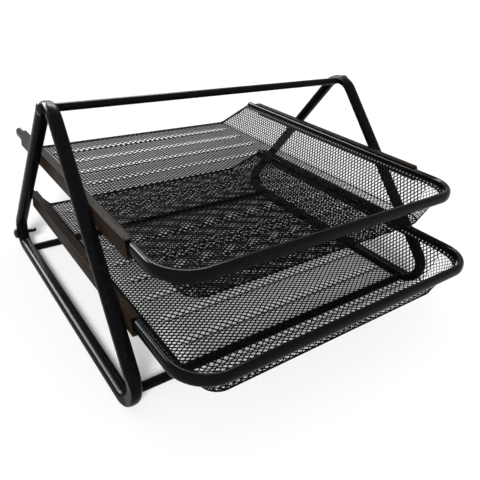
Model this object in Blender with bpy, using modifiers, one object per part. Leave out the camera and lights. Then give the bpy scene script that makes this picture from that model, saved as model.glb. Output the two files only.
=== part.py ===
"""A two-tier letter tray for a desk.

Two pressed mesh trays slide in channels between two triangular side loops of bent oval tube.
X runs across the object, Y runs to the back and Z runs up. All lengths are in metres.
"""

import math

import bmesh
import bpy
from mathutils import Matrix, Vector

# Side loops of oval tube, given by the sharp corners of the tube's centreline
LOOP_SPACING = 0.300
TUBE_WIDTH = 0.0105
TUBE_DEPTH = 0.0087
BASE_LENGTH = 0.3028
APEX_RISE = 0.183
APEX_BACK = 0.0091
FRONT_BEND_RADIUS = 0.018
REAR_BEND_RADIUS = 0.015
APEX_BEND_RADIUS = 0.020

# Round bars between the loops
TOP_BAR_DIAMETER = 0.0064
TOP_BAR_DROP = 0.001
BASE_BAR_DIAMETER = 0.0072
BASE_BAR_INSET = 0.0384

# Dome-headed bolts at the apex and at the rear bends
HEAD_DIAMETER = 0.010
HEAD_HEIGHT = 0.003
HEAD_EDGE = 0.0008
SHANK_DIAMETER = 0.0034
TIP_DIAMETER = 0.0024
TOP_BOLT_BITE = 0.010
REAR_BOLT_LENGTH = 0.0185

# Channel rails of folded sheet on the inner faces of the loops, with a toe at the lower front edge
RAIL_SHEET = 0.001
RAIL_HEIGHT = 0.012
RAIL_FLANGE = 0.007
RAIL_TOE = 0.005
RAIL_TIP_LENGTH = 0.007
RAIL_TIP_HEIGHT = 0.0035

# Heights of the rails, and how far each passes the front and rear legs of the loops
UPPER_HEIGHT = 0.115
UPPER_FRONT_REACH = 0.0567
UPPER_REAR_REACH = 0.0661
LOWER_HEIGHT = 0.060
LOWER_FRONT_REACH = 0.0143
LOWER_REAR_REACH = 0.0038

# How far each tray's front rim stands before the front end of its rails
UPPER_TRAY_LEAD = 0.0439
LOWER_TRAY_LEAD = 0.0656

# Trays, measured from the axis of the rim
RIM_WIDTH = 0.0056
RIM_HEIGHT = 0.009
RIM_PLAY = 0.00065
RIM_RADIUS = 0.027
RIM_LENGTH = 0.302
TRAY_DEPTH = 0.028
WALL_RUN = 0.023
FRONT_RUN = 0.0137
REAR_RUN = 0.028
FLOOR_RADIUS = 0.014
REAR_HEM_DIAMETER = 0.0032

# Pressed mesh of the trays
MESH_SHEET = 0.001
STRAND_WIDTH = 0.0022
HEM_WIDTH = 0.004
RIB_START = 0.0378
RIB_PITCH = 0.0297
RIB_DEPTH = 0.0025
FLOOR_CELL = 0.047
WALL_CELL = 0.055
FRONT_CELL = 0.036
CORNER_CELL = 0.019

# Clearances between neighbouring solids
GAP = 0.0003
SEAM = 0.0004

# Facets of round forms
OVAL_SIDES = 12
OVAL_POWER = 3
BAR_SIDES = 16
BOLT_SIDES = 14
DOME_STEPS = 4
BEND_STEPS = 7
LEAD_IN = 0.001
SHARP_ANGLE = math.radians(40)

# Points closer than this are the same point
WELD = 1e-6

SIDES = {"left": -1, "right": 1}
BASE_AXIS_Z = TUBE_DEPTH / 2
TUBE_INNER_X = (LOOP_SPACING - TUBE_WIDTH) / 2
TUBE_OUTER_X = (LOOP_SPACING + TUBE_WIDTH) / 2
RAIL_WEB_X = TUBE_INNER_X - GAP
RIM_AXIS_X = RAIL_WEB_X - RAIL_SHEET - RIM_PLAY - RIM_WIDTH / 2
RIM_SAG = RAIL_HEIGHT / 2 - RAIL_SHEET - GAP - RIM_HEIGHT / 2
RIM_SEAT = RIM_WIDTH / 2 + GAP + MESH_SHEET / 2
WALL_TOP_X = RIM_AXIS_X - RIM_SEAT
FLOOR_HALF = RIM_AXIS_X - WALL_RUN
FLOOR_REAR = RIM_LENGTH + REAR_RUN - REAR_HEM_DIAMETER / 2
HEM_SEAT = REAR_HEM_DIAMETER / 2 + GAP
HEM_TOP_Y = RIM_LENGTH - HEM_SEAT


def clear_scene():
    for old in list(bpy.data.objects):
        bpy.data.objects.remove(old)


def new_collection(name):
    collection = bpy.data.collections.new(name)
    bpy.context.scene.collection.children.link(collection)
    return collection


def make_material(name, colour, roughness, metallic):
    material = bpy.data.materials.new(name)
    material.use_nodes = True
    shader = material.node_tree.nodes["Principled BSDF"]
    shader.inputs["Base Color"].default_value = (*colour, 1.0)
    shader.inputs["Roughness"].default_value = roughness
    shader.inputs["Metallic"].default_value = metallic
    return material


clear_scene()
PARTS = new_collection("desk_organizer")
HELPERS = new_collection("helpers")
TUBE_BLACK = make_material("tube_black", (0.012, 0.012, 0.013), 0.32, 0.0)
SHEET_BLACK = make_material("sheet_black", (0.030, 0.028, 0.026), 0.42, 0.0)
RIM_BLACK = make_material("rim_black", (0.016, 0.016, 0.017), 0.30, 0.0)
MESH_BLACK = make_material("mesh_black", (0.010, 0.010, 0.010), 0.48, 0.0)
BOLT_BLACK = make_material("bolt_black", (0.014, 0.014, 0.015), 0.30, 0.6)


def new_empty(name, parent, location):
    empty = bpy.data.objects.new(name, None)
    empty.parent = parent
    empty.location = location
    PARTS.objects.link(empty)
    return empty


def new_part(name, data, parent, material, location=(0, 0, 0), rotation=(0, 0, 0)):
    part = bpy.data.objects.new(name, data)
    part.parent = parent
    part.location = location
    part.rotation_euler = rotation
    data.materials.append(material)
    PARTS.objects.link(part)
    return part


def new_cutter(name, data, parent, location, rotation):
    cutter = bpy.data.objects.new(name, data)
    cutter.parent = parent
    cutter.location = location
    cutter.rotation_euler = rotation
    cutter.hide_render = True
    cutter.display_type = "WIRE"
    HELPERS.objects.link(cutter)
    return cutter


def add_boolean(part, operation, cutter):
    modifier = part.modifiers.new(cutter.name, "BOOLEAN")
    modifier.operation = operation
    modifier.solver = "EXACT"
    modifier.object = cutter


def add_solidify(part, thickness):
    modifier = part.modifiers.new("thickness", "SOLIDIFY")
    modifier.thickness = thickness
    modifier.offset = 0.0


def poly_curve(name, points, cyclic):
    """A curve through the given points, flat where they have only an X and a Y."""
    curve = bpy.data.curves.new(name, "CURVE")
    curve.dimensions = f"{len(points[0])}D"
    if curve.dimensions == "2D":
        curve.fill_mode = "NONE"
    spline = curve.splines.new("POLY")
    spline.points.add(len(points) - 1)
    for control, point in zip(spline.points, points):
        control.co = (*Vector(point).to_3d(), 1.0)
    spline.use_cyclic_u = cyclic
    return curve


def shade_round(mesh):
    """Smooth shading over the facets of a round form, with its real edges kept sharp."""
    mesh.shade_smooth()
    mesh.set_sharp_from_angle(angle=SHARP_ANGLE)


def curve_mesh(curve):
    """The mesh of a curve, with its caps welded and its faces turned outwards."""
    holder = bpy.data.objects.new("holder", curve)
    HELPERS.objects.link(holder)
    graph = bpy.context.evaluated_depsgraph_get()
    mesh = bpy.data.meshes.new_from_object(holder.evaluated_get(graph))
    mesh.name = curve.name
    bpy.data.objects.remove(holder)
    work = bmesh.new()
    work.from_mesh(mesh)
    bmesh.ops.remove_doubles(work, verts=work.verts, dist=WELD)
    bmesh.ops.recalc_face_normals(work, faces=work.faces)
    work.to_mesh(mesh)
    work.free()
    mesh.materials.clear()
    shade_round(mesh)
    return mesh


def oval_profile(name, width, height):
    """Outline of a squarish oval bar that has a flat on each of its four sides."""
    squared = 2 / OVAL_POWER
    flat = math.cos(math.pi / OVAL_SIDES) ** squared
    points = []
    for side in range(OVAL_SIDES):
        angle = (side + 0.5) * math.tau / OVAL_SIDES
        x = math.copysign(abs(math.cos(angle)) ** squared, math.cos(angle))
        y = math.copysign(abs(math.sin(angle)) ** squared, math.sin(angle))
        points.append((x * width / 2 / flat, y * height / 2 / flat))
    profile = bpy.data.objects.new(name, poly_curve(name, points, True))
    profile.hide_render = True
    profile.display_type = "WIRE"
    HELPERS.objects.link(profile)
    return profile


def swept_mesh(name, points, profile, cyclic):
    curve = poly_curve(name, points, cyclic)
    curve.bevel_mode = "OBJECT"
    curve.bevel_object = profile
    curve.use_fill_caps = not cyclic
    return curve_mesh(curve)


def prism_mesh(name, outline, thickness):
    curve = poly_curve(name, outline, True)
    curve.fill_mode = "BOTH"
    curve.extrude = thickness / 2
    return curve_mesh(curve)


def bar_mesh(name, diameter, length):
    mesh = bpy.data.meshes.new(name)
    work = bmesh.new()
    bmesh.ops.create_cone(
        work,
        cap_ends=True,
        segments=BAR_SIDES,
        radius1=diameter / 2,
        radius2=diameter / 2,
        depth=length,
    )
    work.to_mesh(mesh)
    work.free()
    shade_round(mesh)
    return mesh


def bend(before, corner, after, radius):
    """Points along the arc that rounds one corner, with a short lead-in on either side."""
    back = (before - corner).normalized()
    ahead = (after - corner).normalized()
    half = back.angle(ahead) / 2
    centre = corner + (back + ahead).normalized() * radius / math.sin(half)
    tangent = radius / math.tan(half)
    spoke = corner + back * tangent - centre
    turn = math.copysign(math.pi - 2 * half, -back.cross(ahead))
    points = [corner + back * (tangent + LEAD_IN)]
    for step in range(BEND_STEPS + 1):
        points.append(centre + Matrix.Rotation(turn * step / BEND_STEPS, 2) @ spoke)
    points.append(corner + ahead * (tangent + LEAD_IN))
    return points


def bend_middle(before, corner, after, radius):
    """The point halfway round the arc that rounds one corner."""
    back = (before - corner).normalized()
    ahead = (after - corner).normalized()
    half = back.angle(ahead) / 2
    return corner + (back + ahead).normalized() * radius * (1 / math.sin(half) - 1)


# Corners of a loop, as (y, z)
FRONT_CORNER = Vector((-BASE_LENGTH / 2, BASE_AXIS_Z))
REAR_CORNER = Vector((BASE_LENGTH / 2, BASE_AXIS_Z))
APEX_CORNER = Vector((APEX_BACK, BASE_AXIS_Z + APEX_RISE))
APEX_MIDDLE = bend_middle(REAR_CORNER, APEX_CORNER, FRONT_CORNER, APEX_BEND_RADIUS)
REAR_MIDDLE = bend_middle(FRONT_CORNER, REAR_CORNER, APEX_CORNER, REAR_BEND_RADIUS)
TOP_BAR_PLACE = APEX_MIDDLE - Vector((0, TOP_BAR_DROP))

ALONG_X = (0, math.pi / 2, 0)
IN_SIDE_PLANE = (math.pi / 2, 0, math.pi / 2)
IN_FRONT_PLANE = (math.pi / 2, 0, 0)


def leg_y(height, toward):
    """Where the front (-1) or rear (1) legs are at a height."""
    share = (height - BASE_AXIS_Z) / APEX_RISE
    return toward * BASE_LENGTH / 2 * (1 - share) + APEX_BACK * share


def build_loops(parent):
    """The two side loops, each drilled for its apex bolt and its rear bolt."""
    path = bend(APEX_CORNER, FRONT_CORNER, REAR_CORNER, FRONT_BEND_RADIUS)
    path += bend(FRONT_CORNER, REAR_CORNER, APEX_CORNER, REAR_BEND_RADIUS)
    path += bend(REAR_CORNER, APEX_CORNER, FRONT_CORNER, APEX_BEND_RADIUS)
    profile = oval_profile("tube_profile", TUBE_DEPTH, TUBE_WIDTH)
    loops = {}
    for side, sign in SIDES.items():
        mesh = swept_mesh(f"{side}_side_loop", path, profile, True)
        place = (sign * LOOP_SPACING / 2, 0, 0)
        loops[side] = new_part(mesh.name, mesh, parent, TUBE_BLACK, place, IN_SIDE_PLANE)
    return loops


def bolt_profile(length):
    """Half outline of a bolt from the top of its dome to its end, with the head's seat at zero."""
    head = HEAD_DIAMETER / 2
    shank = SHANK_DIAMETER / 2
    tip = TIP_DIAMETER / 2
    dome = HEAD_HEIGHT - HEAD_EDGE
    points = []
    for step in range(DOME_STEPS + 1):
        angle = math.pi / 2 * step / DOME_STEPS
        points.append((head * math.sin(angle), HEAD_EDGE + dome * math.cos(angle)))
    points += [(head, 0), (shank, 0), (shank, shank - tip - length), (tip, -length), (0, -length)]
    return points


def build_bolt(name, parent, sign, place, length):
    mesh = bpy.data.meshes.new(name)
    work = bmesh.new()
    corners = [work.verts.new((radius, 0, height)) for radius, height in bolt_profile(length)]
    for first, second in zip(corners, corners[1:]):
        work.edges.new((first, second))
    work.to_mesh(mesh)
    work.free()
    seat = (sign * (TUBE_OUTER_X + GAP), place.x, place.y)
    bolt = new_part(name, mesh, parent, BOLT_BLACK, seat, (0, sign * math.pi / 2, 0))
    screw = bolt.modifiers.new("turn", "SCREW")
    screw.steps = BOLT_SIDES
    screw.render_steps = BOLT_SIDES
    screw.use_merge_vertices = True
    screw.merge_threshold = WELD


def build_bars(parent, loops):
    """Three crossbars, with the bolts that hold the top one and those at the rear bends."""
    length = 2 * (TUBE_INNER_X - GAP)
    hole = SHANK_DIAMETER + 2 * GAP
    top_place = (0, TOP_BAR_PLACE.x, TOP_BAR_PLACE.y)
    top_mesh = bar_mesh("top_crossbar", TOP_BAR_DIAMETER, length)
    top_bar = new_part("top_crossbar", top_mesh, parent, TUBE_BLACK, top_place, ALONG_X)
    for name, toward in (("front_crossbar", -1), ("rear_crossbar", 1)):
        place = (0, toward * (BASE_LENGTH / 2 - BASE_BAR_INSET), BASE_AXIS_Z)
        mesh = bar_mesh(name, BASE_BAR_DIAMETER, length)
        new_part(name, mesh, parent, TUBE_BLACK, place, ALONG_X)

    bolt_length = TUBE_WIDTH + 2 * GAP + TOP_BOLT_BITE
    hole_length = 2 * (bolt_length + GAP)
    for side, sign in SIDES.items():
        for name, place in (("top_hole", TOP_BAR_PLACE), ("rear_hole", REAR_MIDDLE)):
            mesh = bar_mesh(f"{side}_{name}", hole, hole_length)
            centre = (sign * (TUBE_OUTER_X + GAP), place.x, place.y)
            cutter = new_cutter(mesh.name, mesh, parent, centre, ALONG_X)
            add_boolean(loops[side], "DIFFERENCE", cutter)
            if name == "top_hole":
                add_boolean(top_bar, "DIFFERENCE", cutter)
        build_bolt(f"{side}_top_bolt", parent, sign, TOP_BAR_PLACE, bolt_length)
        build_bolt(f"{side}_rear_bolt", parent, sign, REAR_MIDDLE, REAR_BOLT_LENGTH)


def channel_outline(sign):
    """Section of a rail, open towards the middle of the object, as (x, z)."""
    web = RAIL_WEB_X
    inner = web - RAIL_SHEET
    tip = web - RAIL_FLANGE
    top = RAIL_HEIGHT / 2
    lip = top - RAIL_SHEET
    half = [(web, top), (tip, top), (tip, lip), (inner, lip)]
    points = half + [(x, -z) for x, z in reversed(half)]
    return [(sign * x, z) for x, z in points]


def rail_side_outline(front, rear):
    """Side view of a rail: a front end with a toe, and at the rear a tip along the upper flange."""
    top = RAIL_HEIGHT / 2
    over = top + RAIL_SHEET
    spare = RAIL_TOE / RAIL_HEIGHT * RAIL_SHEET
    tip = top - RAIL_TIP_HEIGHT
    shoulder = rear - RAIL_TIP_LENGTH
    points = [(front + RAIL_TOE + spare, over), (rear, over), (rear, tip), (shoulder, tip)]
    return points + [(shoulder, -over), (front - spare, -over)]


def build_rails(tier, parent, height, front, rear):
    spare = RAIL_FLANGE
    cutter_width = 4 * RAIL_FLANGE
    middle = (front + rear) / 2
    for side, sign in SIDES.items():
        name = f"{tier}_{side}_rail"
        mesh = prism_mesh(name, channel_outline(sign), rear - front + 2 * spare)
        rail = new_part(name, mesh, parent, SHEET_BLACK, (0, middle, height), IN_FRONT_PLANE)
        outline = rail_side_outline(front, rear)
        cutter_mesh = prism_mesh(f"{name}_ends", outline, cutter_width)
        place = (sign * RAIL_WEB_X, 0, height)
        cutter = new_cutter(cutter_mesh.name, cutter_mesh, parent, place, IN_SIDE_PLANE)
        add_boolean(rail, "INTERSECT", cutter)


def diamond_mesh(name, surface, columns, rows, groove=0.0, hem=0.0):
    """Diamond mesh laid on surface(u, v), with grooves across it and a plain hem along v = 1."""
    mesh = bpy.data.meshes.new(name)
    work = bmesh.new()
    bmesh.ops.create_grid(work, x_segments=columns, y_segments=rows, size=0.5)
    hem_line = [corner for corner in work.verts if corner.co.y > 0.5 - WELD]
    square_edges = [edge for edge in work.edges if not edge.is_boundary]
    middles = bmesh.ops.poke(work, faces=work.faces)["verts"]
    bmesh.ops.dissolve_edges(work, edges=square_edges, use_verts=False)
    hem_ends = {}
    for corner in work.verts:
        u = corner.co.x + 0.5
        v = corner.co.y + 0.5
        corner.co = surface(u, v)
        if corner in hem_line:
            hem_ends[corner] = corner.co + (corner.co - surface(u, 0.0)).normalized() * hem
    for corner in middles:
        corner.co.z -= groove
    work.normal_update()
    cells = list(work.faces)
    bmesh.ops.inset_individual(
        work, faces=cells, thickness=STRAND_WIDTH / 2, use_even_offset=True
    )
    bmesh.ops.delete(work, geom=cells, context="FACES")
    if hem:
        border = [e for e in work.edges if all(corner in hem_ends for corner in e.verts)]
        places = {tuple(corner.co): end for corner, end in hem_ends.items()}
        made = bmesh.ops.extrude_edge_only(work, edges=border)["geom"]
        for corner in made:
            if isinstance(corner, bmesh.types.BMVert):
                corner.co = places[tuple(corner.co)]
    bmesh.ops.recalc_face_normals(work, faces=work.faces)
    work.to_mesh(mesh)
    work.free()
    return mesh


def add_panel(name, parent, mesh):
    add_solidify(new_part(name, mesh, parent, MESH_BLACK), MESH_SHEET)


def blend(first, second, share):
    return first + (second - first) * share


def rib_count():
    return max(1, math.floor((FLOOR_REAR - RIB_START) / RIB_PITCH + 0.5))


def floor_surface(u, v):
    """The floor inside its fold lines, with a row of mesh to each rib and drawn-in front corners."""
    half = FLOOR_HALF - SEAM
    x = blend(-half, half, u)
    y = RIB_START + (v * rib_count() - 0.5) * RIB_PITCH
    if v == 1:
        y = FLOOR_REAR - HEM_SEAT
    if v == 0:
        y = FRONT_RUN + SEAM
    if v == 0 and u in (0, 1):
        drawn_in = FLOOR_RADIUS * (1 - math.sqrt(0.5))
        x -= math.copysign(drawn_in, x)
        y += drawn_in
    return Vector((x, y, -TRAY_DEPTH))


def hem_share(run):
    """Share of a wall's slope that is left for the mesh below its hem."""
    return 1 - HEM_WIDTH / math.hypot(run, TRAY_DEPTH)


def side_wall_surface(sign):
    run = WALL_TOP_X - FLOOR_HALF
    share = hem_share(run)
    slope = math.hypot(run, TRAY_DEPTH)
    hem_lean = math.hypot(FLOOR_REAR - HEM_TOP_Y, slope) / slope

    def surface(u, v):
        rise = v * share
        front = blend(FRONT_RUN + FLOOR_RADIUS, RIM_RADIUS, rise) + SEAM
        rear = blend(FLOOR_REAR, HEM_TOP_Y, rise) - HEM_SEAT * hem_lean
        x = blend(FLOOR_HALF + SEAM, WALL_TOP_X, rise)
        return Vector((sign * x, blend(front, rear, u), blend(-TRAY_DEPTH, 0, rise)))

    return surface


def front_wall_surface(u, v):
    rise = v * hem_share(FRONT_RUN - RIM_SEAT)
    half = blend(FLOOR_HALF - FLOOR_RADIUS, RIM_AXIS_X - RIM_RADIUS, rise) - SEAM
    y = blend(FRONT_RUN - SEAM, RIM_SEAT, rise)
    return Vector((blend(-half, half, u), y, blend(-TRAY_DEPTH, 0, rise)))


def corner_surface(sign):
    """A front corner, lofted from the small arc at the floor to the wide arc of the rim."""
    share = hem_share(RIM_RADIUS - RIM_SEAT)

    def surface(u, v):
        rise = v * share
        angle = u * math.pi / 2
        spread = Vector((sign * math.cos(angle), -math.sin(angle)))
        floor_centre = Vector((sign * (FLOOR_HALF - FLOOR_RADIUS), FRONT_RUN + FLOOR_RADIUS))
        rim_centre = Vector((sign * (RIM_AXIS_X - RIM_RADIUS), RIM_RADIUS))
        low = floor_centre + spread * (FLOOR_RADIUS + SEAM)
        high = rim_centre + spread * (RIM_RADIUS - RIM_SEAT)
        place = blend(low, high, rise)
        return Vector((place.x, place.y, blend(-TRAY_DEPTH, 0, rise)))

    return surface


def cell_count(length, cell):
    return max(1, round(length / cell))


def build_mesh_panels(tray, parent):
    columns = cell_count(2 * FLOOR_HALF, FLOOR_CELL)
    name = f"{tray}_floor_mesh"
    floor = diamond_mesh(name, floor_surface, columns, rib_count(), groove=RIB_DEPTH)
    add_panel(name, parent, floor)
    name = f"{tray}_front_wall_mesh"
    columns = cell_count(2 * (FLOOR_HALF - FLOOR_RADIUS), FRONT_CELL)
    add_panel(name, parent, diamond_mesh(name, front_wall_surface, columns, 1, hem=HEM_WIDTH))
    for side, sign in SIDES.items():
        name = f"{tray}_{side}_wall_mesh"
        columns = cell_count(FLOOR_REAR - FRONT_RUN, WALL_CELL)
        wall = diamond_mesh(name, side_wall_surface(sign), columns, 1, hem=HEM_WIDTH)
        add_panel(name, parent, wall)
        name = f"{tray}_{side}_corner_mesh"
        columns = cell_count((RIM_RADIUS - RIM_SEAT) * math.pi / 2, CORNER_CELL)
        corner = diamond_mesh(name, corner_surface(sign), columns, 1, hem=HEM_WIDTH)
        add_panel(name, parent, corner)


def build_rim(tray, parent):
    """An oval bar bent to a U, open at the rear."""
    left_rear = Vector((-RIM_AXIS_X, RIM_LENGTH))
    left_front = Vector((-RIM_AXIS_X, 0))
    right_front = Vector((RIM_AXIS_X, 0))
    right_rear = Vector((RIM_AXIS_X, RIM_LENGTH))
    path = [left_rear]
    path += bend(left_rear, left_front, right_front, RIM_RADIUS)
    path += bend(left_front, right_front, right_rear, RIM_RADIUS)
    path.append(right_rear)
    name = f"{tray}_rim"
    profile = oval_profile(f"{name}_profile", RIM_WIDTH, RIM_HEIGHT)
    new_part(name, swept_mesh(name, path, profile, False), parent, RIM_BLACK)


def build_rear_hem(tray, parent):
    """A rolled bead along the rear edge of the floor and up the side walls to the rim's ends."""
    name = f"{tray}_rear_hem"
    top = WALL_TOP_X - REAR_HEM_DIAMETER / 2
    half = [(FLOOR_HALF, FLOOR_REAR, -TRAY_DEPTH), (top, HEM_TOP_Y, 0)]
    points = [(-x, y, z) for x, y, z in reversed(half)] + half
    curve = poly_curve(name, points, False)
    curve.bevel_depth = REAR_HEM_DIAMETER / 2
    curve.bevel_resolution = 2
    curve.use_fill_caps = True
    new_part(name, curve_mesh(curve), parent, RIM_BLACK)


def build_tier(tier, parent, height, front_reach, rear_reach, lead):
    """A pair of rails and the tray that slides in them. Returns the tray's front and rear."""
    front = leg_y(height, -1) - front_reach
    rear = leg_y(height, 1) + rear_reach
    build_rails(tier, parent, height, front, rear)
    tray = f"{tier}_tray"
    slide = new_empty(f"{tray}_slide", parent, (0, front - lead, height - RIM_SAG))
    build_rim(tray, slide)
    build_mesh_panels(tray, slide)
    build_rear_hem(tray, slide)
    rear_end = FLOOR_REAR + REAR_HEM_DIAMETER / 2
    return front - lead - RIM_WIDTH / 2, front - lead + rear_end


def build():
    root = new_empty("desk_organizer_root", None, (0, 0, 0))
    build_bars(root, build_loops(root))
    upper = build_tier(
        "upper", root, UPPER_HEIGHT, UPPER_FRONT_REACH, UPPER_REAR_REACH, UPPER_TRAY_LEAD
    )
    lower = build_tier(
        "lower", root, LOWER_HEIGHT, LOWER_FRONT_REACH, LOWER_REAR_REACH, LOWER_TRAY_LEAD
    )
    # The origin is under the middle of the whole object.
    root.location.y = -(min(upper[0], lower[0]) + max(upper[1], lower[1])) / 2


build()
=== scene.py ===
"""Looks of the two-tier letter tray: bent tube, folded rails, pressed mesh and black enamel."""

import math
from contextlib import contextmanager

import bmesh
import bpy
from mathutils import Matrix, Vector


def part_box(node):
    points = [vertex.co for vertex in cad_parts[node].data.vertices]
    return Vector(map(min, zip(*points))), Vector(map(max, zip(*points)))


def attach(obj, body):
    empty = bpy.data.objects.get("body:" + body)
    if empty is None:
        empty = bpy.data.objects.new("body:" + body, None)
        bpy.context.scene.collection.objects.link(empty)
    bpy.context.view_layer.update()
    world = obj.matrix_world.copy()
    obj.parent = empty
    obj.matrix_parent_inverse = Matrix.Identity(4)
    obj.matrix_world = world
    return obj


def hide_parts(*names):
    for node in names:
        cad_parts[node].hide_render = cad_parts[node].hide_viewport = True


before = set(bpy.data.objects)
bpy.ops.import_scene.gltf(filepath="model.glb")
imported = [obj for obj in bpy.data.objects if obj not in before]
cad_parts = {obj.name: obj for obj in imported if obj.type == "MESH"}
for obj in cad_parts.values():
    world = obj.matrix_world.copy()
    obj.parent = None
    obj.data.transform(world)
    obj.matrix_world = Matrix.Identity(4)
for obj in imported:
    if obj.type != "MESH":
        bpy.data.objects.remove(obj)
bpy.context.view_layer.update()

# Lengths are in metres and angles in radians. A squareness of 2 is a true oval, more is boxier.

# Side loops, by the sharp corners of the tube's centreline
LOOP_SPACING = 0.300
TUBE_WIDTH = 0.0105
TUBE_DEPTH = 0.0087
TUBE_SQUARENESS = 2.6
TUBE_SIDES = 40
BASE_LENGTH = 0.3028
APEX_RISE = 0.1829
APEX_BACK = 0.0091
FRONT_BEND_RADIUS = 0.018
REAR_BEND_RADIUS = 0.015
APEX_BEND_RADIUS = 0.020
BEND_STEPS = 14
PRESS_DEPTH = 0.0017
PRESS_STEPS = 4
BASE_BAR_INSET = 0.0384
CROSSBAR_SIDES = 24
ROUND_SQUARENESS = 2.0

# Trays, from the axis of the rim
RIM_WIDTH = 0.0056
RIM_HEIGHT = 0.009
RIM_SQUARENESS = 2.4
RIM_SIDES = 40
RIM_RADIUS = 0.027
RIM_LENGTH = 0.302
RIM_AXIS_X = 0.140
TRAY_DEPTH = 0.028
WALL_TOP_X = 0.1364
FLOOR_HALF = 0.117
FRONT_RUN = 0.0137
FRONT_SEAT = 0.0036
FLOOR_REAR = 0.3284
FLOOR_RADIUS = 0.014
HEM_DIAMETER = 0.0028
HEM_SEAT = 0.0006
HEM_SIDES = 16
HEM_BEND_RADIUS = 0.006
HEM_BEND_STEPS = 8

# Rails
RAIL_EDGE_ROUND = 0.00035
RAIL_EDGE_STEPS = 2
RAIL_FOLD_ANGLE = 0.5
RAIL_FLAT_ANGLE = math.radians(1)

# Bolts
HEAD_RADIUS = 0.005
HEAD_EDGE = 0.0008
HEAD_HEIGHT = 0.003
DOME_STEPS = 8
SHANK_RADIUS = 0.0021
SHANK_LENGTH = 0.0185
PLAIN_LENGTH = 0.009
END_CHAMFER = 0.0004
THREAD_PITCH = 0.0008
THREAD_DEPTH = 0.00025
BOLT_SIDES = 28
RECESS_LENGTH = 0.0052
RECESS_WIDTH = 0.0011
RECESS_CUTTER = 0.003
RECESS_LIFT = 0.0001

# Pressed mesh
MESH_SHEET = 0.0005
STRAND_WIDTH = 0.00085
DRAWN_SHEET = 0.00025
DRAWN_STRAND = 0.00045
DIAMOND_WIDTH = 0.0060
DIAMOND_LENGTH = 0.0038
BAND_WIDTH = 0.0034
REAR_BAND = 0.002
FOLD_WIDTH = 0.0012
DOT_RADIUS = 0.0008
RIB_START = 0.0378
RIB_PITCH = 0.0297
RIB_COUNT = 10
RIB_DEPTH = 0.0025
RIB_HALF_WIDTH = 0.0044
RIB_POWER = 1.2
RIB_END = 0.110
RIB_FADE = 0.009

# Steps across and along the guide surface of each panel
FLOOR_GUIDE = (60, 316)
FRONT_GUIDE = (20, 8)
SIDE_GUIDE = (300, 16)
CORNER_GUIDE = (16, 8)

# The mesh keeps this share of a guide clear at its edges, where sampling can miss it
GUIDE_MARGIN = 0.0002

# Open strand ends of up to this many sides are closed
STRAND_END_SIDES = 8

# Points closer than these are joined, the lattice's while it lies in a flat square of one by one
WELD = 1e-6
RAIL_WELD = 1e-5
LATTICE_WELD = 1e-5

# Faces that meet at a larger angle than these keep a sharp edge
TUBE_EDGE = math.radians(50)
PRESSED_EDGE = math.radians(28)
RAIL_EDGE = math.radians(35)
BOLT_EDGE = math.radians(40)

# Enamel
CLOUDS = {"Scale": 45.0, "Detail": 4.0}
GRAIN = {"Scale": 900.0, "Detail": 2.0}
SPECKS = {"Scale": 380.0, "Detail": 5.0}
SPECK_START = 0.60
SPECK_FULL = 0.78
DUST_COLOUR = (0.30, 0.29, 0.27, 1.0)
DUST_DULLING = 0.5
CLOUD_SPREAD = 0.12
PEEL_HEIGHT = 0.0002

# Studio
PAPER_SIZE = 20.0
PAPER_COLOUR = (0.80, 0.80, 0.80, 1.0)
PAPER_GLOW = 0.17
SKY_COLOUR = (1.0, 1.0, 1.0, 1.0)
SKY_FILL = 0.33
LAMP_TARGET = (0, 0, 0.08)
SUN_PLACE = (-0.42, -0.62, 0.56)
SUN_POWER = 4.6
SUN_ANGLE = math.radians(20)
SOFT_BOXES = {  # place, width and height, power
    "rear_box": ((-0.1, 1.35, 0.9), (1.8, 0.5), 22.0),
    "left_box": ((-0.65, 1.1, 0.88), (0.9, 0.4), 95.0),
    "top_box": ((0.35, 1.0, 1.3), (0.9, 0.3), 45.0),
}

# Camera, by its turn to the right, its dip and its tilt. Its Y is from the middle of the base.
CAMERA_YAW = 0.6516
CAMERA_PITCH = 0.4209
CAMERA_ROLL = 0.0745
CAMERA_X = -0.2575
CAMERA_Y = -0.36831
CAMERA_Z = 0.28182
CAMERA_NEAR = 0.01
SENSOR_MM = 36.0
LENS_MM = 39.02
LENS_SHIFT = -0.0960

SIDES = {"left": -1, "right": 1}
TRAYS = ("upper_tray", "lower_tray")


# Node trees

class Field:
    """A socket in a node tree that can stand in Python expressions."""

    def __init__(self, tree, socket):
        self.tree = tree
        self.socket = socket

    def maths(self, operation, *values):
        node = self.tree.nodes.new("ShaderNodeMath")
        node.operation = operation
        for place, value in zip(node.inputs, values):
            connect(self.tree, place, value)
        return Field(self.tree, node.outputs[0])

    def __add__(self, other):
        return self.maths("ADD", self, other)

    def __radd__(self, other):
        return self.maths("ADD", other, self)

    def __sub__(self, other):
        return self.maths("SUBTRACT", self, other)

    def __rsub__(self, other):
        return self.maths("SUBTRACT", other, self)

    def __mul__(self, other):
        return self.maths("MULTIPLY", self, other)

    def __rmul__(self, other):
        return self.maths("MULTIPLY", other, self)

    def __truediv__(self, other):
        return self.maths("DIVIDE", self, other)

    def __rtruediv__(self, other):
        return self.maths("DIVIDE", other, self)

    def __pow__(self, other):
        return self.maths("POWER", self, other)

    def __abs__(self):
        return self.maths("ABSOLUTE", self)

    def kept_within(self, low, high):
        return self.maths("MINIMUM", self.maths("MAXIMUM", self, low), high)


def connect(tree, place, value):
    if isinstance(value, Field):
        tree.links.new(value.socket, place)
    else:
        place.default_value = value


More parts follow.
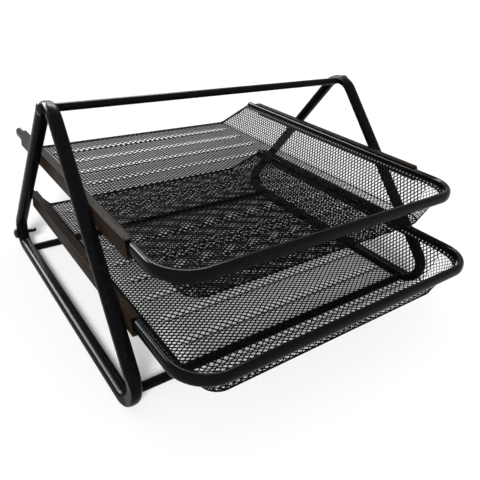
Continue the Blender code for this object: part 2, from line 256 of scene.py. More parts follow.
class Tree:
    """A node tree under construction."""

    def __init__(self, tree):
        self.tree = tree

    def node(self, kind, settings=None, inputs=None):
        """Adds a node, sets it up and feeds its sockets by name or number."""
        node = self.tree.nodes.new(kind)
        for name, value in (settings or {}).items():
            setattr(node, name, value)
        for name, value in (inputs or {}).items():
            connect(self.tree, node.inputs[name], value)
        return node

    def add(self, kind, settings=None, inputs=None, output=0):
        """Adds a node and returns one of its outputs."""
        return Field(self.tree, self.node(kind, settings, inputs).outputs[output])

    def vector(self, x, y=0.0, z=0.0):
        return self.add("ShaderNodeCombineXYZ", inputs={"X": x, "Y": y, "Z": z})

    def place_parts(self):
        """The position's X, Y and Z."""
        spot = self.add("GeometryNodeInputPosition")
        apart = self.node("ShaderNodeSeparateXYZ", inputs={0: spot})
        return [Field(self.tree, part) for part in apart.outputs]

    def real(self, geometry):
        return self.add("GeometryNodeRealizeInstances", inputs={"Geometry": geometry})

    def moved(self, geometry, shift):
        inputs = {"Geometry": geometry, "Translation": shift}
        return self.add("GeometryNodeTransform", inputs=inputs)

    def dressed(self, geometry, finish):
        """Real geometry in its finish."""
        inputs = {"Geometry": self.real(geometry), "Material": finish}
        return self.add("GeometryNodeSetMaterial", inputs=inputs)

    def ended(self, geometry):
        self.node("NodeGroupOutput", inputs={0: geometry})
        return self.tree


def geometry_tree(name, sockets):
    """A geometry tree with the named inputs. Returns the tree and its inputs as fields."""
    tree = bpy.data.node_groups.new(name, "GeometryNodeTree")
    tree.interface.new_socket("Geometry", in_out="OUTPUT", socket_type="NodeSocketGeometry")
    for label, kind in sockets.items():
        tree.interface.new_socket(label, in_out="INPUT", socket_type=f"NodeSocket{kind}")
    entry = tree.nodes.new("NodeGroupInput")
    return Tree(tree), {label: Field(tree, entry.outputs[label]) for label in sockets}


# Pieces

@contextmanager
def worked(mesh):
    """Lends a mesh out to be shaped, and writes the result back to it."""
    work = bmesh.new()
    work.from_mesh(mesh)
    yield work
    work.to_mesh(mesh)
    work.free()


def shown(name, mesh):
    piece = bpy.data.objects.new(name, mesh)
    bpy.context.scene.collection.objects.link(piece)
    return piece


def grown(name, data, tree, values):
    """The plain mesh that a tree makes of some data, in an object of its own."""
    seed = shown(f"{name}_seed", data)
    modifier = seed.modifiers.new("grow", "NODES")
    modifier.node_group = tree
    for item in tree.interface.items_tree:
        if item.in_out == "INPUT" and item.name in values:
            modifier[item.identifier] = values[item.name]
    graph = bpy.context.evaluated_depsgraph_get()
    mesh = bpy.data.meshes.new_from_object(seed.evaluated_get(graph))
    mesh.name = name
    bpy.data.objects.remove(seed)
    return shown(name, mesh)


def settle(piece, body, slot, *nodes):
    """Puts a finished piece on its body, in place of its CAD nodes."""
    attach(piece, body)
    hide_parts(*nodes)


def box_corners(node):
    return [Vector(corner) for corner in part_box(node)]


# Finishes

def enamel(name, colour, roughness, shine, peel, dust):
    """Stoved enamel with a fine orange peel, cloudy gloss and a little dust."""
    material = bpy.data.materials.new(name)
    material.use_nodes = True
    build = Tree(material.node_tree)
    place = build.add("ShaderNodeTexCoord", output="Object")
    clouds, grain, specks = (
        build.add("ShaderNodeTexNoise", inputs={"Vector": place, **kind})
        for kind in (CLOUDS, GRAIN, SPECKS)
    )
    speck_range = {"From Min": SPECK_START, "From Max": SPECK_FULL, "To Min": 0.0, "To Max": dust}
    motes = build.add("ShaderNodeMapRange", inputs={"Value": specks, **speck_range})
    tint = build.add(
        "ShaderNodeMix",
        {"data_type": "RGBA"},
        {"Factor": motes, 6: (*colour, 1.0), 7: DUST_COLOUR},
        output=2,
    )
    bump = build.add(
        "ShaderNodeBump", inputs={"Strength": peel, "Distance": PEEL_HEIGHT, "Height": grain}
    )
    smoothest = roughness - CLOUD_SPREAD / 2
    looks = {
        "Specular IOR Level": shine,
        "Base Color": tint,
        "Roughness": smoothest + CLOUD_SPREAD * clouds + DUST_DULLING * motes,
        "Normal": bump,
    }
    shader = material.node_tree.nodes["Principled BSDF"]
    for socket, value in looks.items():
        connect(material.node_tree, shader.inputs[socket], value)
    return material


TUBE_ENAMEL = enamel("tube_enamel", (0.002, 0.002, 0.0025), 0.26, 0.030, 0.12, 0.02)
# The rails' warm brown is a painted reflection of warm surroundings on black enamel.
RAIL_ENAMEL_PAINTED_REFLECTION = enamel("rail_enamel", (0.014, 0.009, 0.006), 0.34, 0.012, 0.25, 0.04)
RIM_ENAMEL = enamel("rim_enamel", (0.002, 0.0025, 0.003), 0.16, 0.036, 0.06, 0.02)
MESH_ENAMEL = enamel("mesh_enamel", (0.0015, 0.0015, 0.0015), 0.42, 0.006, 0.20, 0.015)
# The dots' light grey is a painted glint on the black enamel, not a colour of their own.
DOT_PAINTED_GLINT = enamel("bead_enamel", (0.22, 0.22, 0.22), 0.30, 0.24, 0.05, 0.04)
BOLT_ENAMEL = enamel("bolt_enamel", (0.003, 0.003, 0.004), 0.24, 0.12, 0.10, 0.03)


# Tube, bars, rims and beads

def tube_tree():
    """An oval, slightly squared bar along a curve."""
    build, given = geometry_tree(
        "bent_tube",
        {
            "Path": "Geometry",
            "Width": "Float",
            "Height": "Float",
            "Squareness": "Float",
            "Sides": "Int",
            "Finish": "Material",
        },
    )
    circle = build.add(
        "GeometryNodeCurvePrimitiveCircle", inputs={"Resolution": given["Sides"], "Radius": 1.0}
    )
    halves = []
    for part, size in zip(build.place_parts(), ("Width", "Height")):
        half = part.maths("SIGN", part) * abs(part) ** (2 / given["Squareness"])
        halves.append(half * given[size] * 0.5)
    oval = build.add(
        "GeometryNodeSetPosition", inputs={"Geometry": circle, "Position": build.vector(*halves)}
    )
    skin = build.add(
        "GeometryNodeCurveToMesh",
        inputs={"Curve": given["Path"], "Profile Curve": oval, "Fill Caps": True},
    )
    smooth = build.add("GeometryNodeSetShadeSmooth", inputs={"Geometry": skin})
    return build.ended(build.dressed(smooth, given["Finish"]))


TUBE_TREE = tube_tree()


def path_curve(name, points, cyclic):
    """A curve that doesn't twist, so that a section stays level through upright bends."""
    curve = bpy.data.curves.new(name, "CURVE")
    curve.dimensions = "3D"
    curve.twist_mode = "MINIMUM"
    spline = curve.splines.new("POLY")
    spline.points.add(len(points) - 1)
    for control, point in zip(spline.points, points):
        control.co = (*point, 1.0)
    spline.use_cyclic_u = cyclic
    return curve


def bar_along(name, points, section, finish, cyclic=False):
    """A bar along the points. Its section is a width, a height, a squareness and a side count.

    The width is level and the height is upright across the path.
    """
    values = dict(zip(("Width", "Height", "Squareness", "Sides"), section), Finish=finish)
    piece = grown(name, path_curve(name, points, cyclic), TUBE_TREE, values)
    with worked(piece.data) as work:
        bmesh.ops.remove_doubles(work, verts=work.verts, dist=WELD)
        bmesh.ops.recalc_face_normals(work, faces=work.faces)
    piece.data.set_sharp_from_angle(angle=TUBE_EDGE)
    return piece


def bend(before, corner, after, radius, steps=BEND_STEPS):
    """Points along the arc that rounds one corner of a path."""
    back = (before - corner).normalized()
    ahead = (after - corner).normalized()
    half = back.angle(ahead) / 2
    middle = (back + ahead).normalized()
    centre = corner + middle * radius / math.sin(half)
    start = corner + back * radius / math.tan(half)
    turn = math.pi - 2 * half
    axis = back.cross(ahead).normalized()
    spoke = start - centre
    return [
        centre + Matrix.Rotation(-turn * step / steps, 3, axis) @ spoke for step in range(steps + 1)
    ]


def bracket_path(corners, radius, steps=BEND_STEPS):
    """Points along an open path of four corners, with the two in the middle rounded."""
    start, first, second, end = corners
    return [
        start,
        *bend(start, first, second, radius, steps),
        *bend(first, second, end, radius, steps),
        end,
    ]


FRONT_BAR_Y = sum(corner[1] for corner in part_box("front_crossbar")) / 2
FRAME_SHIFT = FRONT_BAR_Y + BASE_LENGTH / 2 - BASE_BAR_INSET


def loop_path(x):
    base = TUBE_DEPTH / 2
    front = Vector((x, FRAME_SHIFT - BASE_LENGTH / 2, base))
    rear = Vector((x, FRAME_SHIFT + BASE_LENGTH / 2, base))
    apex = Vector((x, FRAME_SHIFT + APEX_BACK, base + APEX_RISE))
    return (
        bend(apex, front, rear, FRONT_BEND_RADIUS)
        + bend(front, rear, apex, REAR_BEND_RADIUS)
        + bend(rear, apex, front, APEX_BEND_RADIUS)
    )


def press_flat(mesh, sign, path):
    """Presses a flat on the outer face of a loop along its first bend, eased in at both ends."""
    outer = LOOP_SPACING / 2 + TUBE_WIDTH / 2
    for vertex in mesh.vertices:
        nearest = min(range(len(path)), key=lambda step: (path[step] - vertex.co).length)
        if 0 < nearest < BEND_STEPS:
            ease = min(1, min(nearest, BEND_STEPS - nearest) / PRESS_STEPS)
            vertex.co.x = sign * min(abs(vertex.co.x), outer - PRESS_DEPTH * ease)
    mesh.set_sharp_from_angle(angle=PRESSED_EDGE)


def make_frame_tubes():
    tube = (TUBE_WIDTH, TUBE_DEPTH, TUBE_SQUARENESS, TUBE_SIDES)
    for side, sign in SIDES.items():
        path = loop_path(sign * LOOP_SPACING / 2)
        name = f"{side}_side_loop"
        piece = bar_along(f"{name}_tube", path, tube, TUBE_ENAMEL, cyclic=True)
        press_flat(piece.data, sign, path)
        settle(piece, "frame", "tube_black", name)
    for name in ("top_crossbar", "front_crossbar", "rear_crossbar"):
        low, high = box_corners(name)
        middle = (low + high) / 2
        thick = high.z - low.z
        ends = [Vector((x, middle.y, middle.z)) for x in (low.x, high.x)]
        rod = (thick, thick, ROUND_SQUARENESS, CROSSBAR_SIDES)
        piece = bar_along(f"{name}_bar", ends, rod, TUBE_ENAMEL)
        settle(piece, "frame", "tube_black", name)


def tray_place(tray):
    """The front rim's axis at the middle of the tray."""
    low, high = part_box(f"{tray}_rim")
    return Vector((0, low[1] + RIM_WIDTH / 2, (low[2] + high[2]) / 2))


def make_rims():
    section = (RIM_WIDTH, RIM_HEIGHT, RIM_SQUARENESS, RIM_SIDES)
    for tray in TRAYS:
        origin = tray_place(tray)
        corners = [
            origin + Vector((-RIM_AXIS_X, RIM_LENGTH, 0)),
            origin + Vector((-RIM_AXIS_X, 0, 0)),
            origin + Vector((RIM_AXIS_X, 0, 0)),
            origin + Vector((RIM_AXIS_X, RIM_LENGTH, 0)),
        ]
        path = bracket_path(corners, RIM_RADIUS)
        piece = bar_along(f"{tray}_rim_bar", path, section, RIM_ENAMEL)
        settle(piece, tray, "rim_black", f"{tray}_rim")


def make_rear_hems():
    section = (HEM_DIAMETER, HEM_DIAMETER, ROUND_SQUARENESS, HEM_SIDES)
    top_x = RIM_AXIS_X - HEM_DIAMETER / 2
    for tray in TRAYS:
        origin = tray_place(tray)
        corners = [
            origin + Vector((-top_x, RIM_LENGTH, 0)),
            origin + Vector((-FLOOR_HALF, FLOOR_REAR, -TRAY_DEPTH)),
            origin + Vector((FLOOR_HALF, FLOOR_REAR, -TRAY_DEPTH)),
            origin + Vector((top_x, RIM_LENGTH, 0)),
        ]
        path = bracket_path(corners, HEM_BEND_RADIUS, HEM_BEND_STEPS)
        piece = bar_along(f"{tray}_rear_bead", path, section, RIM_ENAMEL)
        settle(piece, tray, "rim_black", f"{tray}_rear_hem")


# Rails

def make_rails():
    """The solids' rails with their folds and edges rounded."""
    for tier in ("upper", "lower"):
        for side in SIDES:
            node = f"{tier}_{side}_rail"
            mesh = bpy.data.meshes.new(f"{node}_channel")
            with worked(mesh) as work:
                work.from_mesh(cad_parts[node].data)
                bmesh.ops.remove_doubles(work, verts=work.verts, dist=RAIL_WELD)
                bmesh.ops.dissolve_limit(
                    work, angle_limit=RAIL_FLAT_ANGLE, verts=work.verts, edges=work.edges
                )
                folds = [
                    edge
                    for edge in work.edges
                    if edge.is_manifold and edge.calc_face_angle() > RAIL_FOLD_ANGLE
                ]
                bmesh.ops.bevel(
                    work,
                    geom=folds,
                    offset=RAIL_EDGE_ROUND,
                    segments=RAIL_EDGE_STEPS,
                    profile=0.5,
                    affect="EDGES",
                    clamp_overlap=True,
                )
            mesh.shade_smooth()
            mesh.set_sharp_from_angle(angle=RAIL_EDGE)
            # Black enamel tinted brown, a painted warm reflection.
            mesh.materials.append(RAIL_ENAMEL_PAINTED_REFLECTION)
            settle(shown(mesh.name, mesh), "frame", "sheet_black", node)


# Bolts

def bolt_outline():
    """Radius and height along a bolt's side, from the top of its dome to the end of its shank."""
    outline = []
    for step in range(DOME_STEPS + 1):
        angle = math.pi / 2 * step / DOME_STEPS
        rise = HEAD_EDGE + (HEAD_HEIGHT - HEAD_EDGE) * math.cos(angle)
        outline.append((HEAD_RADIUS * math.sin(angle), rise))
    outline += [(HEAD_RADIUS, 0.0), (SHANK_RADIUS, 0.0)]
    for turn in range(int((SHANK_LENGTH - PLAIN_LENGTH) / THREAD_PITCH)):
        crest = -PLAIN_LENGTH - turn * THREAD_PITCH
        outline.append((SHANK_RADIUS, crest))
        outline.append((SHANK_RADIUS - THREAD_DEPTH, crest - THREAD_PITCH / 2))
    outline += [(SHANK_RADIUS - END_CHAMFER, -SHANK_LENGTH), (0.0, -SHANK_LENGTH)]
    return outline


def bolt_mesh(name):
    """A dome-headed bolt along +Z with a cross recess and a thread. Its head sits on zero."""
    mesh = bpy.data.meshes.new(name)
    with worked(mesh) as work:
        line = [work.verts.new((radius, 0, z)) for radius, z in bolt_outline()]
        edges = [work.edges.new(pair) for pair in zip(line, line[1:])]
        bmesh.ops.spin(
            work,
            geom=line + edges,
            cent=(0, 0, 0),
            axis=(0, 0, 1),
            angle=math.tau,
            steps=BOLT_SIDES,
            use_merge=True,
        )
        bmesh.ops.remove_doubles(work, verts=work.verts, dist=WELD)
        bmesh.ops.recalc_face_normals(work, faces=work.faces)
    body = shown(f"{name}_body", mesh)
    slots = ((RECESS_LENGTH, RECESS_WIDTH), (RECESS_WIDTH, RECESS_LENGTH))
    for number, (wide, deep) in enumerate(slots):
        slot_mesh = bpy.data.meshes.new(f"{name}_slot_{number}")
        with worked(slot_mesh) as cut:
            bmesh.ops.create_cube(cut, size=1.0)
            bmesh.ops.scale(cut, vec=(wide, deep, RECESS_CUTTER), verts=cut.verts)
            bmesh.ops.translate(cut, vec=(0, 0, HEAD_HEIGHT + RECESS_LIFT), verts=cut.verts)
        modifier = body.modifiers.new("recess", "BOOLEAN")
        modifier.operation = "DIFFERENCE"
        modifier.solver = "EXACT"
        modifier.object = shown(slot_mesh.name, slot_mesh)
    graph = bpy.context.evaluated_depsgraph_get()
    made = bpy.data.meshes.new_from_object(body.evaluated_get(graph))
    for old in [body] + [modifier.object for modifier in body.modifiers]:
        bpy.data.objects.remove(old)
    made.shade_smooth()
    made.set_sharp_from_angle(angle=BOLT_EDGE)
    return made


def bolt_tree():
    """One bolt on each point, turned along the point's outward direction."""
    build, given = geometry_tree(
        "set_bolts", {"Seats": "Geometry", "Bolt": "Object", "Finish": "Material"}
    )
    bolt = build.add(
        "GeometryNodeObjectInfo", inputs={"Object": given["Bolt"]}, output="Geometry"
    )
    outward = build.add(
        "GeometryNodeInputNamedAttribute", {"data_type": "FLOAT_VECTOR"}, {"Name": "outward"}
    )
    turn = build.add("FunctionNodeAlignRotationToVector", {"axis": "Z"}, {"Vector": outward})
    seated = build.add(
        "GeometryNodeInstanceOnPoints",
        inputs={"Points": given["Seats"], "Instance": bolt, "Rotation": turn},
    )
    return build.ended(build.dressed(seated, given["Finish"]))


def make_bolts():
    nodes = [f"{side}_{place}_bolt" for side in SIDES for place in ("top", "rear")]
    points = []
    outward = []
    for node in nodes:
        low, high = box_corners(node)
        sign = math.copysign(1, low.x + high.x)
        x = (high.x if sign > 0 else low.x) - sign * HEAD_HEIGHT
        points.append((x, (low.y + high.y) / 2, (low.z + high.z) / 2))
        outward += (sign, 0.0, 0.0)
    seats = bpy.data.meshes.new("bolt_seats")
    seats.from_pydata(points, [], [])
    seats.attributes.new("outward", "FLOAT_VECTOR", "POINT").data.foreach_set("vector", outward)
    pattern = shown("bolt_pattern", bolt_mesh("bolt"))
    piece = grown("dome_bolts", seats, bolt_tree(), {"Bolt": pattern, "Finish": BOLT_ENAMEL})
    bpy.data.objects.remove(pattern)
    settle(piece, "frame", "bolt_black", *nodes)


# Pressed mesh

def strand_cross(cell_width, cell_length, strand, sheet):
    """Two crossing strands in a cell of one by one, cut off at the cell's edges."""
    slant = math.hypot(cell_width, cell_length)
    reach_x = strand / 2 * slant / cell_length / cell_width
    reach_y = strand / 2 * slant / cell_width / cell_length
    edge = 0.5
    mesh = bpy.data.meshes.new("strand_cross")
    with worked(mesh) as work:
        layers = []
        for z in (-sheet / 2, sheet / 2):
            crossing = [(reach_x, 0), (0, reach_y), (-reach_x, 0), (0, -reach_y)]
            middle = [work.verts.new((x, y, z)) for x, y in crossing]
            arms = []
            for sx, sy in ((1, 1), (-1, 1), (-1, -1), (1, -1)):
                ends = [
                    (sx * edge, sy * (edge - reach_y)),
                    (sx * edge, sy * edge),
                    (sx * (edge - reach_x), sy * edge),
                ]
                if sx * sy < 0:
                    ends.reverse()
                arms.append([work.verts.new((x, y, z)) for x, y in ends])
            layers.append((middle, arms))
        for level, (middle, arms) in enumerate(layers):
            faces = [middle]
            for number, arm in enumerate(arms):
                faces.append([middle[number]] + arm + [middle[(number + 1) % 4]])
            for corners in faces:
                work.faces.new(corners if level else corners[::-1])
        (low, low_arms), (high, high_arms) = layers
        for number, (low_arm, high_arm) in enumerate(zip(low_arms, high_arms)):
            following = (number + 1) % 4
            work.faces.new((low[number], low_arm[0], high_arm[0], high[number]))
            work.faces.new((low_arm[2], low[following], high[following], high_arm[2]))
    return mesh


def flat_lattice(build, given):
    """The strands of a panel laid flat in its UV square, between the fold and the top band."""
    columns, rows = given["Columns"], given["Rows"]
    fold, share = given["Fold Share"], given["Mesh Share"]
    height = share - fold
    cells = build.add(
        "GeometryNodeMeshGrid",
        inputs={
            "Size X": 1 - 1 / columns,
            "Size Y": height * (1 - 1 / rows),
            "Vertices X": columns,
            "Vertices Y": rows,
        },
    )
    cross = build.add(
        "GeometryNodeObjectInfo", inputs={"Object": given["Cross"]}, output="Geometry"
    )
    size = build.vector(1 / columns, height / rows, 1.0)
    lattice = build.add(
        "GeometryNodeInstanceOnPoints", inputs={"Points": cells, "Instance": cross, "Scale": size}
    )
    joined = build.add(
        "GeometryNodeMergeByDistance",
        inputs={"Geometry": build.real(lattice), "Distance": LATTICE_WELD},
    )
    return build.moved(joined, build.vector(0.5, (fold + share) * 0.5))


def flat_band(build, given, low, high):
    """A plain strip of sheet across a panel's UV square."""
    columns = given["Columns"]
    size = build.vector(1.0, high - low, given["Sheet"])
    band = build.add(
        "GeometryNodeMeshCube",
        inputs={"Size": size, "Vertices X": columns + 1, "Vertices Y": 2, "Vertices Z": 2},
    )
    return build.moved(band, build.vector(0.5, (high + low) * 0.5))


def flat_dots(build, given):
    """A row of dots along the top band, marked as dots on their faces."""
    columns, share = given["Columns"], given["Mesh Share"]
    first = build.vector(0.5 / columns, (1 + share) * 0.5)
    step = build.vector(1 / columns)
    row = build.add(
        "GeometryNodeMeshLine", inputs={"Count": columns, "Start Location": first, "Offset": step}
    )
    dot = build.add("GeometryNodeMeshIcoSphere", inputs={"Radius": 1.0, "Subdivisions": 1})
    dots = build.add(
        "GeometryNodeInstanceOnPoints",
        inputs={"Points": row, "Instance": dot, "Scale": given["Dot Size"]},
    )
    return build.add(
        "GeometryNodeStoreNamedAttribute",
        {"data_type": "BOOLEAN", "domain": "FACE"},
        {"Geometry": build.real(dots), "Name": "dot", "Value": True},
    )


def laid_on_guide(build, given, flat):
    """Flat geometry moved from the UV square onto the guide surface, at its height above it."""
    across, along, above = build.place_parts()
    where = build.vector(
        across.kept_within(GUIDE_MARGIN, 1 - GUIDE_MARGIN),
        along.kept_within(GUIDE_MARGIN, 1 - GUIDE_MARGIN),
    )
    chart = build.add(
        "GeometryNodeInputNamedAttribute", {"data_type": "FLOAT_VECTOR"}, {"Name": "UVMap"}
    )
    spot, normal = (
        build.add(
            "GeometryNodeSampleUVSurface",
            {"data_type": "FLOAT_VECTOR"},
            {"Mesh": given["Guide"], "Value": build.add(kind), 2: chart, 3: where},
        )
        for kind in ("GeometryNodeInputPosition", "GeometryNodeInputNormal")
    )
    rise = build.add(
        "ShaderNodeVectorMath", {"operation": "SCALE"}, {"Vector": normal, "Scale": above}
    )
    laid = build.add("ShaderNodeVectorMath", {"operation": "ADD"}, {0: spot, 1: rise})
    return build.add("GeometryNodeSetPosition", inputs={"Geometry": flat, "Position": laid})


def mesh_tree():
    """Diamond mesh over a guide surface, with a fold below, a plain band above and dots on it."""
    build, given = geometry_tree(
        "pressed_mesh",
        {
            "Guide": "Geometry",
            "Columns": "Int",
            "Rows": "Int",
            "Fold Share": "Float",
            "Mesh Share": "Float",
            "Dot Size": "Vector",
            "Sheet": "Float",
            "Cross": "Object",
            "Finish": "Material",
            "Dot Finish": "Material",
        },
    )
    layers = [
        flat_lattice(build, given),
        flat_band(build, given, 0.0, given["Fold Share"]),
        flat_band(build, given, given["Mesh Share"], 1.0),
        flat_dots(build, given),
    ]
    join = build.node("GeometryNodeJoinGeometry")
    for layer in layers:
        connect(build.tree, join.inputs[0], layer)
    formed = laid_on_guide(build, given, Field(build.tree, join.outputs[0]))
    dressed = build.dressed(formed, given["Finish"])
    # The dots get a light grey finish that paints glints on them.
    is_dot = build.add("GeometryNodeInputNamedAttribute", {"data_type": "BOOLEAN"}, {"Name": "dot"})
    dressed = build.add(
        "GeometryNodeSetMaterial",
        inputs={"Geometry": dressed, "Selection": is_dot, "Material": given["Dot Finish"]},
    )
    return build.ended(dressed)


MESH_TREE = mesh_tree()


def guide_mesh(name, surface, columns, rows):
    """A fine grid on surface(u, v) with u and v as its UV map."""
    mesh = bpy.data.meshes.new(name)
    with worked(mesh) as work:
        chart = work.loops.layers.uv.new("UVMap")
        grid = [
            [work.verts.new(surface(i / columns, j / rows)) for i in range(columns + 1)]
            for j in range(rows + 1)
        ]
        for j in range(rows):
            for i in range(columns):
                corners = ((i, j), (i + 1, j), (i + 1, j + 1), (i, j + 1))
                face = work.faces.new([grid[along][across] for across, along in corners])
                for loop, (across, along) in zip(face.loops, corners):
                    loop[chart].uv = (across / columns, along / rows)
                face.smooth = True
    return mesh


def mesh_panel(name, surface, size, cell, band, guide, drawn):
    """A panel of pressed mesh over a surface, given its width and length and those of a cell.

    The strands of a drawn panel are stretched thinner.
    """
    strand, sheet = (DRAWN_STRAND, DRAWN_SHEET) if drawn else (STRAND_WIDTH, MESH_SHEET)
    width, length = size
    mesh_length = length - FOLD_WIDTH - band
    columns = max(2, round(width / cell[0]))
    rows = max(2, round(mesh_length / cell[1]))
    cross = shown("cross", strand_cross(width / columns, mesh_length / rows, strand, sheet))
    values = {
        "Columns": columns,
        "Rows": rows,
        "Fold Share": FOLD_WIDTH / length,
        "Mesh Share": 1 - band / length,
        "Dot Size": (DOT_RADIUS / width, DOT_RADIUS / length, DOT_RADIUS),
        "Sheet": MESH_SHEET,
        "Cross": cross,
        "Finish": MESH_ENAMEL,
        "Dot Finish": DOT_PAINTED_GLINT,
    }
    piece = grown(name, guide_mesh(name, surface, *guide), MESH_TREE, values)
    bpy.data.objects.remove(cross)
    with worked(piece.data) as work:
        bmesh.ops.dissolve_degenerate(work, dist=WELD, edges=work.edges)
        cut_ends = [edge for edge in work.edges if edge.is_boundary]
        bmesh.ops.holes_fill(work, edges=cut_ends, sides=STRAND_END_SIDES)
    return piece


def mix(first, second, share):
    return first + (second - first) * share


def rounded_corner(across, along):
    """Draws a unit square's far corner in to a quarter circle."""
    return (
        across * math.sqrt(1 - along * along / 2),
        along * math.sqrt(1 - across * across / 2),
    )


def groove(x, y):
    """Depth of the pressed grooves at a place on the floor."""
    nearest = min(max(round((y - RIB_START) / RIB_PITCH), 0), RIB_COUNT - 1)
    off = abs(y - RIB_START - nearest * RIB_PITCH) / RIB_HALF_WIDTH
    if off >= 1:
        return 0.0
    ends = min(max((RIB_END - abs(x)) / RIB_FADE, 0.0), 1.0)
    ends = ends * ends * (3 - 2 * ends)
    return RIB_DEPTH * ends * (1 - off) ** RIB_POWER


def floor_surface(origin):
    """The floor, from left to right and from front to rear."""
    inner_x = FLOOR_HALF - FLOOR_RADIUS
    inner_y = FRONT_RUN + FLOOR_RADIUS

    def surface(u, v):
        x = mix(-FLOOR_HALF, FLOOR_HALF, u)
        y = mix(FRONT_RUN, FLOOR_REAR - HEM_SEAT, v)
        if abs(x) > inner_x and y < inner_y:
            across, along = rounded_corner(
                (abs(x) - inner_x) / FLOOR_RADIUS, (inner_y - y) / FLOOR_RADIUS
            )
            x = math.copysign(inner_x + across * FLOOR_RADIUS, x)
            y = inner_y - along * FLOOR_RADIUS
        return origin + Vector((x, y, -TRAY_DEPTH - groove(x, y)))

    return surface


SIDE_SLOPE = math.hypot(WALL_TOP_X - FLOOR_HALF, TRAY_DEPTH)
FRONT_SLOPE = math.hypot(FRONT_RUN - FRONT_SEAT, TRAY_DEPTH)


def side_surface(origin, sign):
    """A side wall, from its fold up to the rim.

    Cells that would pass its slanted rear edge end on the edge.
    """
    lean = math.hypot(FLOOR_REAR - RIM_LENGTH, SIDE_SLOPE) / SIDE_SLOPE

    def surface(u, v):
        along = u if sign > 0 else 1 - u
        front = mix(FRONT_RUN + FLOOR_RADIUS, RIM_RADIUS, v)
        rear = mix(FLOOR_REAR, RIM_LENGTH, v) - HEM_SEAT * lean
        y = min(mix(front, FLOOR_REAR, along), rear)
        x = mix(FLOOR_HALF, WALL_TOP_X, v)
        return origin + Vector((sign * x, y, mix(-TRAY_DEPTH, 0, v)))

    return surface


def front_surface(origin):
    """The front wall, from right to left and from its fold up to the rim."""

    def surface(u, v):
        half = mix(FLOOR_HALF - FLOOR_RADIUS, RIM_AXIS_X - RIM_RADIUS, v)
        y = mix(FRONT_RUN, FRONT_SEAT, v)
        return origin + Vector((mix(half, -half, u), y, mix(-TRAY_DEPTH, 0, v)))

    return surface


def corner_surface(origin, sign):
    """A front corner, lofted from the floor's round corner up to the rim's bend."""
    low_centre = Vector(
        (sign * (FLOOR_HALF - FLOOR_RADIUS), FRONT_RUN + FLOOR_RADIUS, -TRAY_DEPTH)
    )
    high_centre = Vector((sign * (RIM_AXIS_X - RIM_RADIUS), RIM_RADIUS, 0))

    def surface(u, v):
        angle = (1 - u if sign > 0 else u) * math.pi / 2
        spread = Vector((sign * math.cos(angle), -math.sin(angle), 0))
        low = low_centre + spread * FLOOR_RADIUS
        high = high_centre + spread * (RIM_RADIUS - FRONT_SEAT)
        return origin + low.lerp(high, v)

    return surface


def make_baskets():
    length = FLOOR_REAR - HEM_SEAT - FRONT_RUN
    floor_size = (2 * FLOOR_HALF, length)
    front_size = (2 * (FLOOR_HALF - FLOOR_RADIUS), FRONT_SLOPE)
    side_size = (length - FLOOR_RADIUS, SIDE_SLOPE)
    corner_size = (math.pi / 4 * (FLOOR_RADIUS + RIM_RADIUS), FRONT_SLOPE)
    cell = (DIAMOND_WIDTH, DIAMOND_LENGTH)
    side_cell = (DIAMOND_LENGTH, DIAMOND_WIDTH)
    corner_cell = (DIAMOND_LENGTH, DIAMOND_LENGTH)
    for tray in TRAYS:
        origin = tray_place(tray)
        floor = floor_surface(origin)
        front = front_surface(origin)
        panels = {
            "floor": (floor, floor_size, cell, REAR_BAND, FLOOR_GUIDE, False),
            "front_wall": (front, front_size, cell, BAND_WIDTH, FRONT_GUIDE, True),
        }
        for side, sign in SIDES.items():
            wall = side_surface(origin, sign)
            corner = corner_surface(origin, sign)
            panels |= {
                f"{side}_wall": (wall, side_size, side_cell, BAND_WIDTH, SIDE_GUIDE, False),
                f"{side}_corner": (
                    corner, corner_size, corner_cell, BAND_WIDTH, CORNER_GUIDE, True
                ),
            }
        for place, panel in panels.items():
            piece = mesh_panel(f"{tray}_{place}", *panel)
            settle(piece, tray, "mesh_black", f"{tray}_{place}_mesh")


make_frame_tubes()
make_rails()
make_bolts()
make_rims()
make_rear_hems()
make_baskets()


# Floor, light and camera

def background_rays(build):
    """One for rays from the camera, in gloss or through glass, and zero for diffuse light."""
    light_path = build.node("ShaderNodeLightPath")
    camera, gloss, glass = (
        Field(build.tree, light_path.outputs[f"Is {kind} Ray"])
        for kind in ("Camera", "Glossy", "Transmission")
    )
    together = camera + gloss + glass
    return together.maths("MINIMUM", together, 1.0)


def make_floor():
    """White paper with a little glow in the picture, so that its shadows stay light."""
    mesh = bpy.data.meshes.new("studio_floor")
    with worked(mesh) as work:
        bmesh.ops.create_grid(work, x_segments=1, y_segments=1, size=PAPER_SIZE)
    material = bpy.data.materials.new("studio_paper")
    material.use_nodes = True
    build = Tree(material.node_tree)
    paper = build.add("ShaderNodeBsdfDiffuse", inputs={"Color": PAPER_COLOUR})
    strength = PAPER_GLOW * background_rays(build)
    glow = build.add("ShaderNodeEmission", inputs={"Strength": strength})
    both = build.add("ShaderNodeAddShader", inputs={0: paper, 1: glow})
    output = material.node_tree.nodes["Material Output"]
    connect(material.node_tree, output.inputs["Surface"], both)
    mesh.materials.append(material)
    shown("studio_floor", mesh)


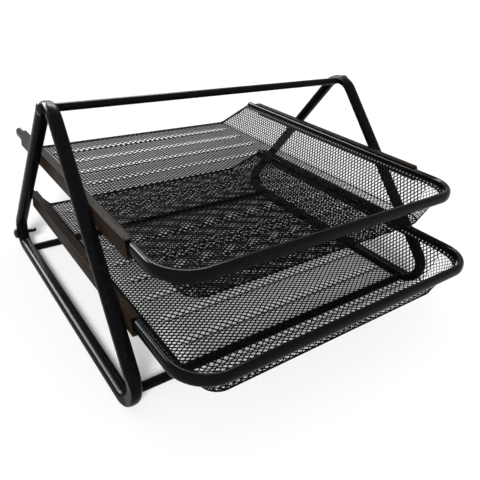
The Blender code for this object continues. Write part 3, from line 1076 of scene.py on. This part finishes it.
def make_world():
    """A white sky that lights the object with only a part of the brightness it shows."""
    world = bpy.data.worlds.new("studio")
    bpy.context.scene.world = world
    world.use_nodes = True
    build = Tree(world.node_tree)
    strength = SKY_FILL + (1 - SKY_FILL) * background_rays(build)
    sky = world.node_tree.nodes["Background"]
    connect(world.node_tree, sky.inputs["Color"], SKY_COLOUR)
    connect(world.node_tree, sky.inputs["Strength"], strength)


def add_lamp(name, kind, place, power):
    """A lamp of a kind that shines from its place at the middle of the object."""
    lamp = bpy.data.lights.new(name, kind)
    lamp.energy = power
    holder = bpy.data.objects.new(name, lamp)
    holder.location = place
    aim = Vector(LAMP_TARGET) - holder.location
    holder.rotation_euler = aim.to_track_quat("-Z", "Y").to_euler()
    bpy.context.scene.collection.objects.link(holder)
    return holder


def add_lamps():
    """A soft sun from beside the camera, and soft boxes behind that show only in the gloss."""
    sun = add_lamp("soft_sun", "SUN", SUN_PLACE, SUN_POWER)
    sun.data.angle = SUN_ANGLE
    sun.visible_glossy = False
    for name, (place, size, power) in SOFT_BOXES.items():
        box = add_lamp(name, "AREA", place, power)
        box.visible_diffuse = False
        box.data.shape = "RECTANGLE"
        box.data.size, box.data.size_y = size


def add_camera():
    """The photograph's viewpoint, with the lens axis above the middle of the picture."""
    level = math.cos(CAMERA_PITCH)
    ahead = Vector(
        (math.sin(CAMERA_YAW) * level, math.cos(CAMERA_YAW) * level, -math.sin(CAMERA_PITCH))
    )
    right = Vector((math.cos(CAMERA_YAW), -math.sin(CAMERA_YAW), 0))
    up = right.cross(ahead)
    tilted_right = right * math.cos(CAMERA_ROLL) + up * math.sin(CAMERA_ROLL)
    tilted_up = up * math.cos(CAMERA_ROLL) - right * math.sin(CAMERA_ROLL)
    camera = bpy.data.cameras.new("camera")
    camera.sensor_width = SENSOR_MM
    camera.lens = LENS_MM
    camera.shift_y = LENS_SHIFT
    camera.clip_start = CAMERA_NEAR
    holder = bpy.data.objects.new("camera", camera)
    turn = Matrix((tilted_right, tilted_up, -ahead)).transposed().to_4x4()
    place = Matrix.Translation((CAMERA_X, CAMERA_Y + FRAME_SHIFT, CAMERA_Z))
    holder.matrix_world = place @ turn
    bpy.context.scene.collection.objects.link(holder)
    bpy.context.scene.camera = holder


make_floor()
make_world()
add_lamps()
add_camera()
bpy.context.scene.view_settings.view_transform = "Standard"
